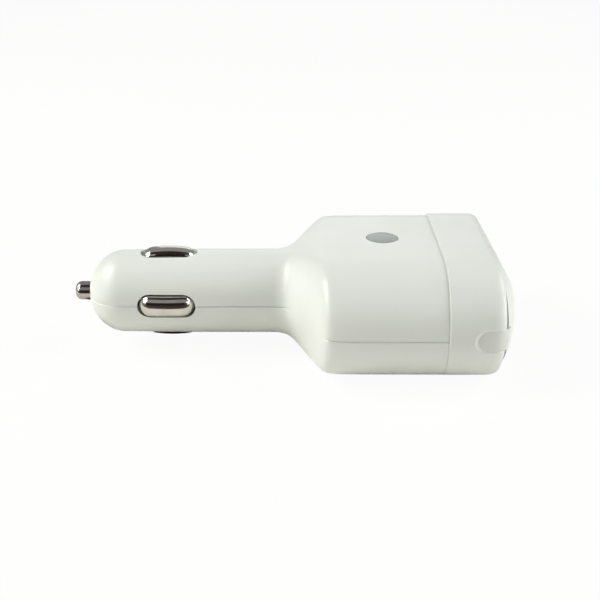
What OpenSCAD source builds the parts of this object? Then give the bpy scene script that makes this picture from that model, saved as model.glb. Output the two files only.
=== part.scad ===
// Twin-port 12 V car charger: a round plug barrel that flares into a wide, flat head.
// X runs along the barrel and is 0 at the head's shoulder, with the ports at +X and the
// centre pin at -X. Y runs across the head and Z up through the status lens. The barrel's
// axis is Y = Z = 0, and the two shells part in the plane Z = 0.

/* [Plug barrel] */
// Diameter of the plain barrel that the socket grips
barrel_d = 20.8; // [20.2:0.1:21.4]
// Diameter of the barrel at the foot of the nose
nose_d = 20.4; // [19.6:0.1:20.8]
// Length from the head's shoulder to the foot of the nose
barrel_l = 38.4; // [37.8:0.2:44]
// Length of the rounded nose
nose_l = 8.3; // [7.6:0.1:10]
// Diameter of the flat that ends the nose
nose_flat_d = 8.2; // [7:0.1:10]
// Length of plain barrel from the shoulder to the contact windows
plain_l = 20.2; // [17:0.2:20.4]
// Wall of the barrel
barrel_wall = 1.8; // [1.6:0.05:1.9]

/* [Centre pin] */
// Diameter of the pin
pin_d = 4.7; // [4:0.1:5.2]
// Length of pin that stands out of the nose
pin_out = 4.3; // [3.5:0.1:5.5]
// How far the socket pushes the pin in
pin_travel = 2.5; // [1.5:0.1:2.7]
// Rounding of the pin's tip
pin_round = 1.3; // [0.6:0.1:1.8]
// Diameter of the pin's spring
pin_spring_d = 7; // [6.4:0.1:8]
// Wire of the pin's spring
pin_wire = 0.7; // [0.5:0.05:0.8]

/* [Side contacts] */
// Length of a contact's pill
pill_l = 13.7; // [12:0.1:14]
// Width of a contact's pill
pill_w = 5.6; // [5.2:0.1:5.8]
// How far a contact stands out of the barrel
pill_out = 1.25; // [0.8:0.05:1.4]
// Rounding of a pill's top edge
pill_round = 1.5; // [1:0.1:1.8]
// Sheet thickness of a drawn contact
pill_sheet = 0.7; // [0.5:0.05:0.8]
// Gap between a contact and its window
pill_gap = 0.2; // [0.12:0.02:0.3]
// Diameter of the springs behind the contacts
contact_spring_d = 3.8; // [3.4:0.1:4]
// Wire of those springs
contact_wire = 0.5; // [0.35:0.05:0.55]

/* [Head] */
// Width of the head across the flat
head_w = 59.5; // [58:0.5:66]
// Thickness of the head
head_t = 28; // [27:0.5:31]
// How far each rounded side reaches in from the edge
head_side = 15.5; // [14.5:0.5:17]
// Length from the shoulder to the cap's seam
head_l = 38; // [37:0.5:46]
// Wall of the head
head_wall = 2; // [1.8:0.1:2.3]
// Step from the barrel up to the shoulder
shoulder_step = 0.35; // [0.2:0.05:0.8]
// Where the flare leaves the shoulder
flare_start = 2.4; // [1.8:0.1:3]
// Where the flare meets the full width
flare_end = 10.3; // [9.6:0.1:11]
// Softness of the hollow at the foot of the flare
root_soft = 1.2; // [0.6:0.1:2]
// Softness of the round at the top of the flare
crown_soft = 1.4; // [0.8:0.1:2]
// Depth of the groove along the parting line
parting_groove = 0.2; // [0.1:0.05:0.3]

/* [End cap] */
// Length of the cap in front of the seam
cap_l = 12.8; // [12.2:0.2:16]
// How far the cap stands proud of the head, above and at the sides
cap_proud = 0.25; // [0.05:0.05:0.4]
// Seam between the head and the cap
seam_gap = 0.15; // [0.05:0.05:0.3]
// Length of the rim's rounding along the cap
rim_round_l = 4; // [2:0.2:4.4]
// Depth of the rim's rounding
rim_round_in = 1.5; // [0.8:0.1:1.6]
// Length of the spigot that plugs into the head
spigot_l = 4.5; // [3.5:0.5:6]
// Wall of the spigot
spigot_wall = 1.5; // [1.2:0.1:1.8]
// Gap round the spigot
spigot_gap = 0.1; // [0.05:0.05:0.2]
// Edge of the square snap ridges on the spigot
snap_edge = 0.6; // [0.4:0.05:0.8]
// Width of the U notch in each side of the rim
notch_w = 5; // [4:0.2:6]
// Length of the U notch
notch_l = 6.2; // [5.4:0.2:7]
// Width of the rim beside the insert
rim_w = 1.65; // [1.6:0.05:2.2]
// Width of the rim above and below the insert
rim_t = 3.2; // [2.2:0.1:3.6]

/* [Front insert] */
// Height of the dome
dome_h = 5.1; // [4.6:0.1:6.5]
// How flat the dome is before it falls to its edge
dome_power = 2.45; // [2:0.05:4]
// Gap round the insert
insert_gap = 0.35; // [0.2:0.05:0.5]
// Wall of the insert
insert_wall = 1.6; // [1.2:0.1:2]
// Gap round the insert's side tongues
side_tongue_gap = 0.1; // [0.05:0.05:0.2]
// How deep a side tongue lies below the cap's side
side_tongue_sink = 0.3; // [0.1:0.1:0.5]

/* [USB ports] */
// Distance between the two ports
port_pitch = 24; // [22:0.5:26]
// Clear width of a port
port_w = 12.5; // [12.4:0.05:12.7]
// Clear height of a port
port_t = 5.12; // [5.06:0.02:5.3]
// Sheet thickness of a port's shell
port_sheet = 0.3; // [0.25:0.05:0.4]
// Depth of a port's shell
port_l = 14; // [13.5:0.5:14.5]
// Thickness of the tongue in a port
tongue_t = 1.84; // [1.7:0.02:2]
// Width of the tongue in a port
tongue_w = 11.1; // [10.8:0.1:11.4]
// Width of the well round a port
well_w = 16.6; // [15:0.2:18]
// Height of the well round a port
well_t = 8.6; // [7.6:0.2:9.6]

/* [Status lens] */
// Diameter of the lens
lens_d = 7.7; // [6.4:0.1:9]
// Distance from the shoulder to the lens's centre
lens_x = 25; // [24:0.5:26]
// Thickness of the lens's disc
lens_t = 1.3; // [1:0.1:1.4]
// Diameter of the light pipe under the lens
pipe_d = 3.6; // [3:0.1:4]

/* [Circuit board] */
// Gap between the board's edge and the wall of the head
board_gap = 3.75; // [3.5:0.25:5]
// Gap between the edge of the board's tail and the barrel's bore
tail_gap = 0.55; // [0.5:0.05:1.2]
// Thickness of the board
board_t = 1.6; // [1.2:0.2:1.6]
// Diameter of the pegs that pass through the board
peg_d = 2.4; // [2:0.1:2.8]
// Diameter of the posts above and below the board
post_d = 5; // [4.4:0.2:5.4]

/* [Hidden] */

$fn = 72;
// Steps in a quarter of an oval section
quarter_steps = 10;
// How far a cut runs past the face that it leaves
over = 1;
// Clearance of pieces that seat in or on each other
seat_gap = 0.1;

// Colours
shell_white = [0.89, 0.91, 0.88];
chrome = [0.75, 0.76, 0.77];
brass = [0.78, 0.66, 0.36];
spring_steel = [0.6, 0.6, 0.62];

// Barrel
barrel_r = barrel_d / 2;
bore_r = barrel_r - barrel_wall;
nose_tip_x = -barrel_l - nose_l;
nose_wall = 2;
nose_bore_r = 4.9;
nose_steps = 8;
neck_r = barrel_r + shoulder_step;
// Where the head has run straight, past the softness of the flare
straight_x = flare_end + 6;

// Contacts, whose own Z is the way that they stand out of the barrel
pill_x = -plain_l - pill_gap - pill_l / 2;
pill_top = barrel_r + pill_out;
pill_steps = 8;
contact_turns = 4;
flange_side = 1;
flange_t = 0.7;
flange_top = sqrt(pow(bore_r - seat_gap, 2) - pow(pill_w / 2 + flange_side, 2));
crown_fall = pill_round * (1 - sqrt(1 - pow(1 - 2 * pill_sheet / pill_w, 2)));
pill_roof = pill_top - pill_sheet - crown_fall;
TOP = 0;
BOTTOM = 180;
NEAR = 90;
FAR = -90;

// Webs across the bore that carry the contact frame
web_gap = 0.3;
web_t = 1.2;
rear_web_t = 1.8;
frame_pocket = 0.8;
rear_web_x = pill_x - pill_l / 2 - flange_side - web_gap - rear_web_t;
front_web_x = pill_x + pill_l / 2 + flange_side + web_gap;
tail_rib_x = -7;

// Cap and insert
flat_half = head_w / 2 - head_side;
cap_x = head_l + seam_gap;
rim_x = head_l + cap_l;
cap_oval = [head_w / 2 + cap_proud, head_t / 2 + cap_proud, head_side + cap_proud];
spigot_in = cap_proud + head_wall + spigot_gap;
mouth_depth = 4.8;
mouth_x = rim_x - mouth_depth;
mouth_shelf = 0.6;
spigot_root_t = 1.6;
rim_steps = 6;
snap_w = 7;
snap_back = 1.2;
snap_x = head_l - spigot_l + snap_back;
insert_w = 2 * (cap_oval[0] - rim_w - insert_gap);
insert_t = 2 * (cap_oval[1] - rim_t - insert_gap);
insert_oval = [insert_w / 2, insert_t / 2, insert_w / 2 - flat_half];
insert_out = 0.6;
insert_x = rim_x + insert_out;
insert_back_x = mouth_x + seat_gap;
dome_steps = 7;
side_tongue_out = 0.7;
side_tongue_x = insert_x + side_tongue_out;
side_tongue_round = 2.8;

// Ports and board
case_w = port_w + 2 * port_sheet;
case_t = port_t + 2 * port_sheet;
well_floor_out = 1.4;
well_floor_x = rim_x + well_floor_out;
well_round = 1.6;
well_wall = 1.4;
port_back_x = well_floor_x - port_l;
port_block_l = 4.2;
tongue_tip_in = 1.2;
tongue_tip_x = well_floor_x - tongue_tip_in;
tongue_room = 0.75;
tongue_low = port_t / 2 - tongue_room - tongue_t;
blade_t = 0.25;
blade_w = 1;
blade_y = [-3.5, -1, 1, 3.5];
latch_in = 3;
latch_x = well_floor_x - latch_in;
latch_l = 5.6;
latch_w = 2.4;
latch_pitch = 5.8;
latch_slit = 0.3;
latch_root = 0.5;
latch_lean = 4;
leg_in = 2;
leg_x = port_back_x + leg_in;
leg_w = 2;
leg_l = 2.6;
board_top = -case_t / 2;
board_low = board_top - board_t;
board_w = head_w - 2 * (head_wall + board_gap);
tail_w = 2 * (sqrt(pow(bore_r, 2) - pow(board_low, 2)) - tail_gap);
board_front_in = 0.5;
board_front_x = mouth_x - board_front_in;
board_tail_seat = 0.4;
board_tail_x = front_web_x + web_t - board_tail_seat;
// How far the board's taper starts and ends past the flare's own start and end
board_taper = [0.6, 3];
board_neck_x = flare_start + board_taper[0];
board_wide_x = flare_end + board_taper[1];
// Pegs beside the head's flat, past the flare and behind the spigot
peg_out = 2.75;
peg_back = 4.2;
peg_front = 3;
peg_y = flat_half + peg_out;
peg_xs = [flare_end + peg_back, head_l - spigot_l - peg_front];
peg_top = -0.6;
post_end = head_t / 2 - 0.7 * head_wall;

// Metal in the barrel
frame_half = case_t / 2;
frame_sheet = 0.6;
frame_out = 0.4;
frame_x0 = rear_web_x + rear_web_t - frame_pocket;
frame_x1 = front_web_x + web_t + frame_out;
frame_tail_l = 6;
frame_tail_x = board_tail_x + frame_tail_l;
nub_d = 2.2;
nub_h = 0.8;
strap_t = 0.5;
strap_gap = 1.15;
strap_y = frame_half + strap_gap;
strap_low = 3;
strap_high = 5;
strap_foot_in = 3;
strap_foot_x = board_tail_x + strap_foot_in;
strap_foot_l = 2;
washer_x = rear_web_x - strap_t;
washer_gap = 1.2;
washer_r = bore_r - washer_gap;

// Centre pin
pin_flange_x = nose_tip_x + nose_wall + seat_gap;
pin_flange_t = 1;
pin_flange_gap = 0.3;
pin_flange_r = nose_bore_r - pin_flange_gap;
pin_stop_gap = 1.2;
pin_guide_l = washer_x - pin_flange_x - pin_flange_t - pin_travel - pin_stop_gap;
pin_guide_gap = 0.4;
pin_guide_r = pin_spring_d / 2 - pin_wire - pin_guide_gap;
pin_steps = 6;
pin_turns = 3.5;

// Lip that keeps the shells in line
lip_t = 0.9;
lip_up = 0.9;
lip_down = 4;
lip_y = head_w / 2 - head_wall - 2 * seat_gap;

// Parts on the board, placed from the pegs nearest to them
led_size = [3.5, 2.8, 1.9];
pipe_clear = 0.36;
sleeve_wall = 1;
sleeve_l = 3;
fuse_x = -9;
fuse_l = 11;
fuse_tube_d = 3.6;
fuse_cap_d = 4.2;
fuse_cap_l = 2.4;
core_in = [8, 3.6];
core_place = [peg_xs[0] + core_in[0], core_in[1] - peg_y];
core_d = 10.6;
core_bore_d = 5.4;
core_h = 4.6;
winding_t = 0.5;
winding_arc = 300;
input_in = [4.8, 5.4];
input_place = [peg_xs[0] + input_in[0], peg_y - input_in[1]];
input_can = [8, 11.2];
output_in = [0.9, 7.4];
output_place = [peg_xs[1] - output_in[0], peg_y - output_in[1]];
output_can = [6.3, 9];
can_groove = 0.3;
chip_in = [0.5, -3.5];
chip_place = [peg_xs[1] + chip_in[0], chip_in[1]];
chip_size = [5, 4, 1.5];
chip_leads = [-1.9, -0.63, 0.63, 1.9];
chip_lead_w = 0.4;
lead_l = 0.9;
diode_y = 1.5;
diode_place = [peg_xs[0], diode_y];
diode_size = [4.6, 3.6, 2.2];
diode_lead_w = 2.2;

// Soft ramp: 0 before 0 and a slope of 1 after it, with a corner as soft as w
function ramp(x, w) = (x + sqrt(x * x + w * w)) / 2;

// Share of the way from the round neck, 0, to the full head, 1
function spread(x) = (ramp(x - flare_start, root_soft) - ramp(x - flare_end, crown_soft))
    / (flare_end - flare_start);

// Oval of the head at x as [half-width, half-thickness, reach of the rounded side]
function head_at(x) = [for (full = [head_w / 2, head_t / 2, head_side])
    neck_r + (full - neck_r) * spread(x)];

// An oval drawn in by the same amount all round
function inset(oval, by) = [for (v = oval) v - by];

// The head's inside at x, which opens later than the outside so that the flare keeps its wall
function room_at(x) = inset(head_at(x - 0.75 * head_wall), head_wall);

// A point of an oval's outline at the angle t from its side
function oval_point(o, side, t) = [side * (o[0] - o[2]) + o[2] * cos(t), o[1] * sin(t)];

// Upper half of an oval from +Y round to -Y, starting and ending at the angle first
function half_oval(o, first = 0) = [
    for (side = [1, -1], i = [0:quarter_steps])
        let (rise = (90 - first) * i / quarter_steps)
        oval_point(o, side, side > 0 ? first + rise : 90 + rise)];

// Whole oval
function whole_oval(o) = [
    for (side = [1, -1], i = [0:2 * quarter_steps])
        oval_point(o, side, (side > 0 ? -90 : 90) + 90 * i / quarter_steps)];

// Section of the upper shell at x: outside with half of the parting groove, then inside
function shell_section(x) = let (o = head_at(x), inside = half_oval(room_at(x))) concat(
    [[o[0] - parting_groove, 0]],
    half_oval(o, asin(parting_groove / o[1])),
    [[parting_groove - o[0], 0]],
    [for (i = [len(inside) - 1:-1:0]) inside[i]]);

// Ring of 3-D points at x from a section's points
function ring_at(x, section, lift = 0) = [for (q = section) [x, q[0], q[1] + lift]];

// Solid through rings of equal length. An open loft has flat ends; a closed one runs on
// from its last ring to its first, as a wall that goes all the way round.
module loft(rings, closed = false) {
    n = len(rings[0]);
    m = len(rings);
    sides = [for (j = [0:closed ? m - 1 : m - 2], i = [0:n - 1]) let (
        a = j * n + i,
        b = j * n + (i + 1) % n,
        c = ((j + 1) % m) * n + (i + 1) % n,
        d = ((j + 1) % m) * n + i) each [[a, c, b], [a, d, c]]];
    // each end is a strip of four-sided faces across the section
    ends = closed ? [] : [for (i = [0:n / 2 - 2]) let (far = (m - 1) * n)
        each [[i, i + 1, n - 2 - i, n - 1 - i],
            [far + n - 1 - i, far + n - 2 - i, far + i + 1, far + i]]];
    polyhedron([for (r = rings) each r], concat(sides, ends));
}

// Round bar along X from x0 to x1
module bar_x(x0, x1, r) {
    translate([x0, 0, 0]) rotate([0, 90, 0]) cylinder(h = x1 - x0, r = r);
}

// Profile of [x, radius] points turned round the X axis
module turned_x(points) {
    rotate([0, 90, 0]) rotate_extrude() polygon([for (q = points) [q[1], q[0]]]);
}

// Box from its lowest to its highest corner
module block(low, high) {
    translate(low) cube(high - low);
}

// Rectangle with round corners, extruded along X from x0 to x1
module round_box_x(x0, x1, w, t, r) {
    translate([x0, 0, 0]) rotate([90, 0, 90]) linear_extrude(x1 - x0) union() {
        square([w - 2 * r, t], center = true);
        square([w, t - 2 * r], center = true);
        for (y = [-1, 1], z = [-1, 1])
            translate([y * (w / 2 - r), z * (t / 2 - r)]) circle(r);
    }
}

// Bar with round ends, its length along X, from z0 to z1
module pill_bar(l, w, z0, z1) {
    for (x = [-1, 1]) translate([x * (l - w) / 2, 0, z0]) cylinder(h = z1 - z0, d = w);
    block([-(l - w) / 2, -w / 2, z0], [(l - w) / 2, w / 2, z1]);
}

// Compression spring along Z from z0 to z1
module coil(d, wire, z0, z1, turns) {
    steps = 10;
    sides = 6;
    r = (d - wire) / 2;
    loft([for (i = [0:turns * steps]) let (
        t = 360 * i / steps,
        z = z0 + wire / 2 + (z1 - z0 - wire) * i / (turns * steps))
        [for (k = [0:sides - 1]) let (u = -360 * k / sides, reach = r + wire / 2 * cos(u))
            [reach * cos(t), reach * sin(t), z + wire / 2 * sin(u)]]]);
}

// Moves a child that stands along Z to the side contact at the given angle about X
module at_contact(angle) {
    rotate([angle, 0, 0]) translate([pill_x, 0, 0]) children();
}

// Moves a child to a place on top of the board
module on_board(place) {
    translate([place[0], place[1], board_top]) children();
}

// Barrel and nose with their bores
module barrel_tube() {
    ellipse_l = nose_l / sqrt(1 - pow(nose_flat_d / nose_d, 2));
    bore_x = washer_x - seat_gap;
    turned_x(concat(
        [[nose_tip_x + nose_wall, 0], [nose_tip_x, 0]],
        [for (i = [nose_steps:-1:0]) let (x = nose_l * i / nose_steps)
            [-barrel_l - x, nose_d / 2 * sqrt(1 - pow(x / ellipse_l, 2))]],
        [[-plain_l, barrel_r], [over, barrel_r], [over, bore_r], [bore_x, bore_r],
            [bore_x, nose_bore_r], [nose_tip_x + nose_wall, nose_bore_r]]));
}

// Pin hole, contact windows and parting groove of the barrel
module barrel_cuts() {
    bar_x(nose_tip_x - over, nose_tip_x + nose_wall + over, pin_d / 2 + seat_gap);
    for (angle = [TOP, BOTTOM, NEAR, FAR]) at_contact(angle)
        pill_bar(pill_l + 2 * pill_gap, pill_w + 2 * pill_gap, flange_top - over, pill_top);
    for (y = [-1, 1]) translate([pill_x, y * barrel_r, 0])
        block([0, -parting_groove, -parting_groove / 2],
            [-pill_x - seat_gap, parting_groove, parting_groove / 2]);
}

// Webs that hold the contact frame
module barrel_webs() {
    hole = frame_half + seat_gap / 2;
    tail = tail_w / 2 + seat_gap / 2;
    difference() {
        union() {
            bar_x(rear_web_x, rear_web_x + rear_web_t, bore_r + barrel_wall / 2);
            bar_x(front_web_x, front_web_x + web_t, bore_r + barrel_wall / 2);
        }
        block([frame_x0, -hole, -hole], [frame_x1, hole, hole]);
        block([washer_x, strap_y - seat_gap, strap_low - seat_gap],
            [frame_x1, strap_y + strap_t + seat_gap, strap_high + seat_gap]);
        block([board_tail_x - seat_gap, -tail, board_low], [frame_x1, tail, board_top + seat_gap]);
    }
}

// Wall of the upper half of the head; the lower half is its mirror image
module head_half() {
    flare_step = 0.8;
    xs = concat([for (x = [0:flare_step:flare_end + 3 * flare_step]) x],
        [straight_x, head_l]);
    loft([for (x = xs) ring_at(x, shell_section(x))]);
}

// Snap ridges on the cap's spigot, or the recesses for them, larger by grow
module snaps(grow) {
    edge = snap_edge + 2 * grow;
    for (y = [-1, 1], z = [-1, 1])
        translate([snap_x, y * flat_half / 2, z * (head_t / 2 - head_wall)])
            rotate([0, 45, 0]) cube([edge, snap_w + 2 * grow, edge], center = true);
}

// Puts a child at each peg
module at_pegs() {
    for (x = peg_xs, y = [-peg_y, peg_y]) translate([x, y, 0]) children();
}

module upper_shell() {
    color(shell_white) difference() {
        union() {
            intersection() {
                union() {
                    barrel_tube();
                    barrel_webs();
                }
                block([nose_tip_x - over, -head_w, 0], [over, head_w, head_w]);
            }
            head_half();
            // posts that come down over the pegs and hold the board
            at_pegs() translate([0, 0, board_top + seat_gap])
                cylinder(h = post_end - board_top - seat_gap, d = post_d);
            // sleeve round the light pipe
            translate([lens_x, 0, head_t / 2 - head_wall - sleeve_l])
                cylinder(h = sleeve_l + head_wall / 2, d = pipe_d + 2 * seat_gap + 2 * sleeve_wall);
        }
        barrel_cuts();
        at_pegs() translate([0, 0, board_top]) cylinder(h = peg_top - board_top + over,
            d = peg_d + 2 * seat_gap);
        translate([lens_x, 0, head_t / 2 - lens_t]) cylinder(h = head_wall, d = lens_d + seat_gap);
        translate([lens_x, 0, 0]) cylinder(h = head_t, d = pipe_d + 2 * seat_gap);
        snaps(seat_gap);
    }
}

module lower_shell() {
    color(shell_white) difference() {
        union() {
            intersection() {
                union() {
                    barrel_tube();
                    barrel_webs();
                    // rib under the board's tail
                    bar_x(tail_rib_x, tail_rib_x + web_t, bore_r + barrel_wall / 2);
                }
                block([nose_tip_x - over, -head_w, -head_w], [over, head_w, 0]);
            }
            mirror([0, 0, 1]) head_half();
            // lip that keeps the two shells in line
            for (side = [0, 1]) mirror([0, side, 0])
                block([straight_x, lip_y - lip_t, -lip_down],
                    [head_l - spigot_l - over, lip_y, lip_up]);
            // posts under the board, and the pegs through it
            at_pegs() {
                translate([0, 0, -post_end]) cylinder(h = post_end + board_low, d = post_d);
                translate([0, 0, board_low - over])
                    cylinder(h = peg_top - board_low + over, d = peg_d);
            }
        }
        barrel_cuts();
        block([tail_rib_x - over, -bore_r, board_low], [tail_rib_x + web_t + over, bore_r, over]);
        snaps(seat_gap);
    }
}

// The cap's wall as a closed loop of [x, inset at the sides, inset above and below]
function cap_loop() = concat(
    [[cap_x, 0, 0], [rim_x - rim_round_l, 0, 0]],
    [for (i = [1:rim_steps]) let (t = 90 * i / rim_steps, in = rim_round_in * (1 - cos(t)))
        [rim_x - rim_round_l * (1 - sin(t)), in, in]],
    [[rim_x, rim_w, rim_t],
        [mouth_x, rim_w, rim_t],
        [mouth_x, rim_w + mouth_shelf, rim_t + mouth_shelf],
        [cap_x + spigot_root_t, rim_w + mouth_shelf, rim_t + mouth_shelf],
        [cap_x + spigot_root_t, spigot_in + spigot_wall, spigot_in + spigot_wall],
        [head_l - spigot_l, spigot_in + spigot_wall, spigot_in + spigot_wall],
        [head_l - spigot_l, spigot_in, spigot_in],
        [cap_x, spigot_in, spigot_in]]);

// Slot of width w in the rim's +Y side from y0 to y1, round at its back and open in front
module rim_slot(w, y0, y1, front_x) {
    centre_x = rim_x - notch_l + notch_w / 2;
    translate([centre_x, y0, 0]) rotate([-90, 0, 0]) cylinder(h = y1 - y0, d = w);
    block([centre_x, y0, -w / 2], [front_x, y1, w / 2]);
}

module end_cap() {
    // only the outside is raised, so that it stands proud above and is flush below
    color(shell_white) difference() {
        union() {
            loft([for (q = cap_loop()) ring_at(q[0],
                whole_oval([cap_oval[0] - q[1], cap_oval[1] - q[2], cap_oval[2] - q[1]]),
                q[1] <= rim_round_in ? cap_proud : 0)], closed = true);
            snaps(0);
        }
        for (side = [0, 1]) mirror([0, side, 0])
            rim_slot(notch_w, flat_half, cap_oval[0] + over, rim_x + over);
    }
}

// Rings of the dome, drawn in and back by the given wall
function dome_rings(wall) = [for (i = [0:dome_steps]) let (
    rho = cos(90 * i / (dome_steps + 0.5)),
    o = inset(insert_oval, wall))
    ring_at(insert_x - wall + dome_h * (1 - pow(rho, dome_power)),
        whole_oval([for (v = o) v * rho]))];

// Tongue on the insert's +Y side, which fills the cap's notch and rounds over at the front
module side_tongue() {
    outer_y = cap_oval[0] - side_tongue_sink;
    root_y = insert_oval[0] - insert_wall;
    w = notch_w - 2 * side_tongue_gap;
    intersection() {
        rim_slot(w, root_y, outer_y, side_tongue_x);
        union() {
            block([mouth_x - notch_l, root_y, -w], [side_tongue_x - side_tongue_round, outer_y, w]);
            translate([side_tongue_x - side_tongue_round, outer_y - side_tongue_round, -w])
                cylinder(h = 2 * w, r = side_tongue_round);
        }
    }
}

// Puts a child at both ports
module at_ports() {
    for (y = [-1, 1]) translate([0, y * port_pitch / 2, 0]) children();
}

module face_insert() {
    color(shell_white) {
        difference() {
            loft(concat([ring_at(insert_back_x, whole_oval(insert_oval))], dome_rings(0)));
            difference() {
                loft(concat([ring_at(insert_back_x - over, whole_oval(inset(insert_oval,
                    insert_wall)))], dome_rings(insert_wall)));
                at_ports() round_box_x(well_floor_x - well_wall, insert_x + dome_h,
                    well_w + 2 * well_wall, well_t + 2 * well_wall, well_round + well_wall);
            }
            at_ports() {
                round_box_x(well_floor_x, insert_x + dome_h + over, well_w, well_t, well_round);
                block([insert_back_x, -case_w / 2 - seat_gap, -case_t / 2 - seat_gap],
                    [well_floor_x + over, case_w / 2 + seat_gap, case_t / 2 + seat_gap]);
            }
        }
        for (side = [0, 1]) mirror([0, side, 0]) side_tongue();
    }
}

module status_lens() {
    pipe_low = board_top + led_size[2] + pipe_clear;
    color([0.65, 0.69, 0.67]) translate([lens_x, 0, 0]) {
        translate([0, 0, head_t / 2 - lens_t]) cylinder(h = lens_t, d = lens_d);
        translate([0, 0, pipe_low]) cylinder(h = head_t / 2 - lens_t / 2 - pipe_low, d = pipe_d);
    }
}

module centre_pin() {
    tip_x = nose_tip_x - pin_out;
    pin_r = pin_d / 2;
    back_x = pin_flange_x + pin_flange_t;
    color(chrome) turned_x(concat(
        [[tip_x, 0]],
        [for (i = [0:pin_steps]) let (t = 90 * i / pin_steps)
            [tip_x + pin_round * (1 - cos(t)), pin_r - pin_round * (1 - sin(t))]],
        [[pin_flange_x, pin_r], [pin_flange_x, pin_flange_r], [back_x, pin_flange_r],
            [back_x, pin_guide_r], [back_x + pin_guide_l, pin_guide_r],
            [back_x + pin_guide_l, 0]]));
}

module pin_spring() {
    color(spring_steel) rotate([0, 90, 0])
        coil(pin_spring_d, pin_wire, pin_flange_x + pin_flange_t, washer_x, pin_turns);
}

// Drawn contact: a domed, hollow pill with a flange that keeps it in its window
module contact(angle) {
    half = pill_w / 2;
    crown = [for (i = [0:pill_steps]) let (t = 90 * i / pill_steps)
        [half * sin(t), pill_top - pill_round * (1 - cos(t))]];
    color(chrome) at_contact(angle) difference() {
        union() {
            for (x = [-1, 1]) translate([x * (pill_l - pill_w) / 2, 0, 0])
                rotate_extrude() polygon(concat(crown, [[half, flange_top - flange_t],
                    [0, flange_top - flange_t]]));
            translate([-(pill_l - pill_w) / 2, 0, 0]) rotate([90, 0, 90])
                linear_extrude(pill_l - pill_w) polygon(concat(
                    [for (i = [pill_steps:-1:1]) [-crown[i][0], crown[i][1]]], crown,
                    [[half, flange_top - flange_t], [-half, flange_top - flange_t]]));
            pill_bar(pill_l + 2 * flange_side, pill_w + 2 * flange_side, flange_top - flange_t,
                flange_top);
        }
        pill_bar(pill_l - 2 * pill_sheet, pill_w - 2 * pill_sheet, 0, pill_roof);
    }
}

module contact_spring(angle) {
    color(spring_steel) at_contact(angle)
        coil(contact_spring_d, contact_wire, frame_half, pill_roof, contact_turns);
}

// Square tube that grounds the four contact springs, with a tail on the board
module ground_frame() {
    inner = frame_half - frame_sheet;
    color(brass) {
        difference() {
            block([frame_x0, -frame_half, -frame_half], [frame_x1, frame_half, frame_half]);
            block([frame_x0 - over, -inner, -inner], [frame_x1 + over, inner, inner]);
        }
        block([frame_x1 - over, -inner, -frame_half], [frame_tail_x, inner, -inner]);
        for (angle = [TOP, BOTTOM, NEAR, FAR]) at_contact(angle)
            translate([0, 0, inner + frame_sheet / 2])
                cylinder(h = frame_sheet / 2 + nub_h, d = nub_d);
    }
}

// Disc behind the pin's spring, and the strap that takes it to the board
module positive_strap() {
    color(brass) {
        bar_x(washer_x, washer_x + strap_t, washer_r);
        block([washer_x, strap_y, strap_low], [strap_foot_x, strap_y + strap_t, strap_high]);
        block([strap_foot_x - strap_foot_l, strap_y, board_top],
            [strap_foot_x, strap_y + strap_t, strap_high]);
    }
}

module circuit_board() {
    half = board_w / 2;
    tail = tail_w / 2;
    color([0.1, 0.36, 0.2]) difference() {
        translate([0, 0, board_low]) linear_extrude(board_t) polygon([
            [board_tail_x, -tail], [board_neck_x, -tail], [board_wide_x, -half],
            [board_front_x, -half], [board_front_x, half], [board_wide_x, half],
            [board_neck_x, tail], [board_tail_x, tail]]);
        at_pegs() translate([0, 0, board_low - over])
            cylinder(h = board_t + 2 * over, d = peg_d + 2 * seat_gap);
        at_ports() port_legs(seat_gap);
    }
}

// Legs of a port's shell that pass through the board, or their slots, larger by grow
module port_legs(grow) {
    for (y = [-1, 1]) translate([leg_x, y * (case_w - port_sheet) / 2, 0])
        block([-grow, -port_sheet / 2 - grow, board_top - leg_l],
            [leg_w + grow, port_sheet / 2 + grow, board_top + port_sheet]);
}

// Puts a child at a port's latch springs, two above and two below, with Z out of the shell
module at_latches() {
    for (turn = [0, 180], y = [-1, 1]) rotate([turn, 0, 0])
        translate([latch_x, y * latch_pitch / 2, port_t / 2]) children();
}

module usb_shell(side) {
    color(chrome) translate([0, side * port_pitch / 2, 0]) {
        difference() {
            round_box_x(port_back_x, well_floor_x, case_w, case_t, 2 * port_sheet);
            round_box_x(port_back_x + port_sheet, well_floor_x + over, port_w, port_t,
                port_sheet);
            at_latches()
                block([-latch_l, -latch_w / 2, -over], [0, latch_w / 2, port_sheet + over]);
        }
        port_legs(0);
        // leaves that lean into the port from the front of their windows
        at_latches() translate([0, 0, port_sheet / 10]) rotate([0, -latch_lean, 0])
            block([latch_slit - latch_l, latch_slit - latch_w / 2, 0],
                [latch_root, latch_w / 2 - latch_slit, 0.7 * port_sheet]);
    }
}

module usb_tongue(side) {
    slack = seat_gap / 2;
    block_x = port_back_x + port_sheet;
    color([0.93, 0.93, 0.91]) translate([0, side * port_pitch / 2, 0]) {
        block([block_x, slack - port_w / 2, slack - port_t / 2],
            [block_x + port_block_l, port_w / 2 - slack, port_t / 2 - slack]);
        block([block_x + port_block_l - over, -tongue_w / 2, tongue_low],
            [tongue_tip_x, tongue_w / 2, tongue_low + tongue_t]);
    }
}

// Four contact blades on the underside of a port's tongue
module usb_blades(side) {
    color(brass) translate([0, side * port_pitch / 2, 0])
        for (y = blade_y)
            block([port_back_x + port_sheet + port_block_l, y - blade_w / 2, tongue_low - blade_t],
                [tongue_tip_x - blade_w / 2, y + blade_w / 2, tongue_low]);
}

module status_led() {
    color([0.95, 0.93, 0.8]) on_board([lens_x, 0])
        translate([-led_size[0] / 2, -led_size[1] / 2, 0]) cube(led_size);
}

module fuse_tube() {
    color([0.8, 0.86, 0.88]) translate([0, 0, board_top + fuse_cap_d / 2])
        bar_x(fuse_x + port_sheet, fuse_x + fuse_l - port_sheet, fuse_tube_d / 2);
}

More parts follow.
